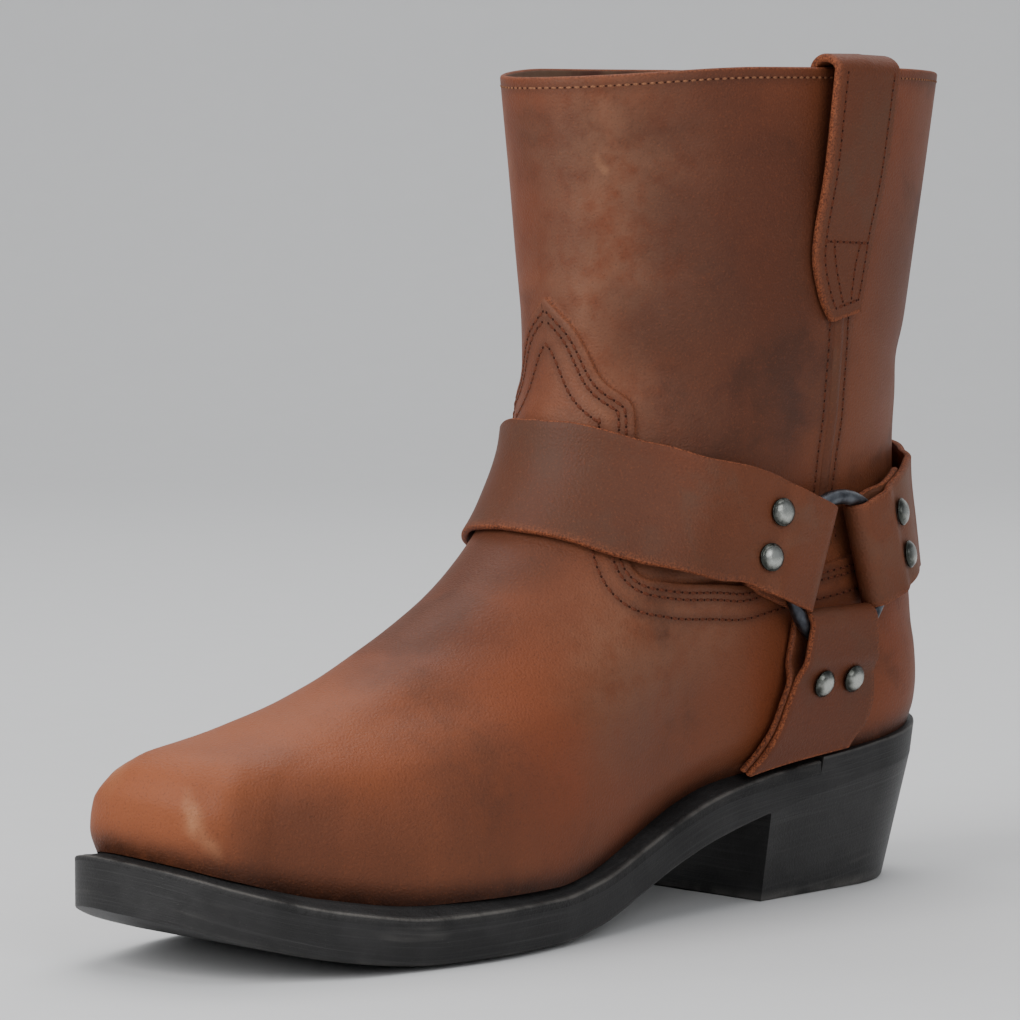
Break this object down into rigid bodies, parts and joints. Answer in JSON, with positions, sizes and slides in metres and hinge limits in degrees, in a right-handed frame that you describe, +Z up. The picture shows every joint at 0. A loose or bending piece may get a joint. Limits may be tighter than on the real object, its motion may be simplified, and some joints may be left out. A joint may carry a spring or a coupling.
{
  "type": "harness boot",
  "caption": "Left short western harness boot in mottled brown oiled leather, with riveted straps on steel rings, a square toe, a pull strap, a black welted sole and a block heel.",
  "frame": {"origin": "middle of the heel's floor face", "axes": "+X to the toe, +Y to the outer side of the left foot, +Z up"},
  "size_m": [0.3111, 0.1049, 0.247],
  "materials": {
    "leather_brown": "oiled, mottled, satin",
    "sole_black": "worn satin",
    "insole_tan": "matt",
    "ring_gunmetal": "dark satin",
    "rivet_nickel": "antique nickel"
  },
  "bodies": {
    "root": {"upper": "leather_brown", "side_seam_outer": "leather_brown", "side_seam_inner": "leather_brown", "pull_strap": "leather_brown", "instep_strap": "leather_brown", "heel_strap": "leather_brown", "anchor_strap_outer": "leather_brown", "anchor_strap_inner": "leather_brown", "outsole": "sole_black", "heel": "sole_black", "welt": "sole_black", "insole": "insole_tan", "ring_outer": "ring_gunmetal", "ring_inner": "ring_gunmetal", "instep_strap_rivet_outer_a": "rivet_nickel", "instep_strap_rivet_outer_b": "rivet_nickel", "instep_strap_rivet_inner_a": "rivet_nickel", "instep_strap_rivet_inner_b": "rivet_nickel", "heel_strap_rivet_outer_a": "rivet_nickel", "heel_strap_rivet_outer_b": "rivet_nickel", "heel_strap_rivet_inner_a": "rivet_nickel", "heel_strap_rivet_inner_b": "rivet_nickel", "anchor_strap_outer_rivet_a": "rivet_nickel", "anchor_strap_outer_rivet_b": "rivet_nickel", "anchor_strap_inner_rivet_a": "rivet_nickel", "anchor_strap_inner_rivet_b": "rivet_nickel"}
  },
  "joints": []
}
